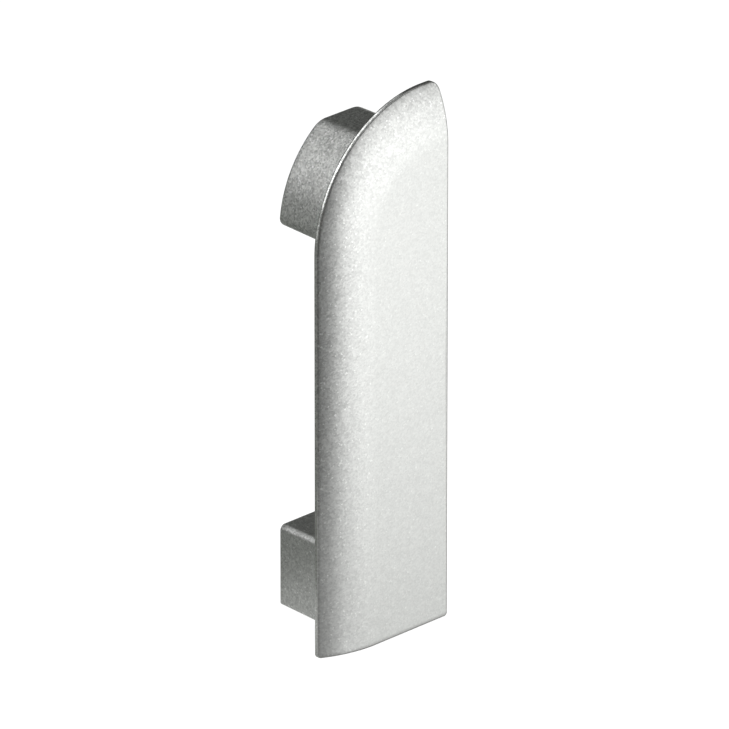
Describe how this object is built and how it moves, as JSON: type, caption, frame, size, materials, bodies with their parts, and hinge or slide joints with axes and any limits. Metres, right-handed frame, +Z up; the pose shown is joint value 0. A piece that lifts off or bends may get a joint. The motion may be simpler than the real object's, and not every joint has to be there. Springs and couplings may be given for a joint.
{
  "type": "profile end cap",
  "caption": "Tall slim end cap with a crowned cover plate, a rounded top on the room side, and plug-in pegs that hold it in the cut end of a hollow profile.",
  "frame": {"origin": "middle of the cover plate's back face, which seats on the profile's cut end", "axes": "+Z up along the plate's height; +Y along the pegs, into the profile; -Y out of the crowned outer face; -X towards the room, +X towards the wall"},
  "size_m": [0.0168, 0.0098, 0.06],
  "materials": {
    "silver_paint": "silver metallic paint with a fine grain on moulded plastic"
  },
  "bodies": {
    "root": {"end_cap": "silver_paint"}
  },
  "joints": []
}
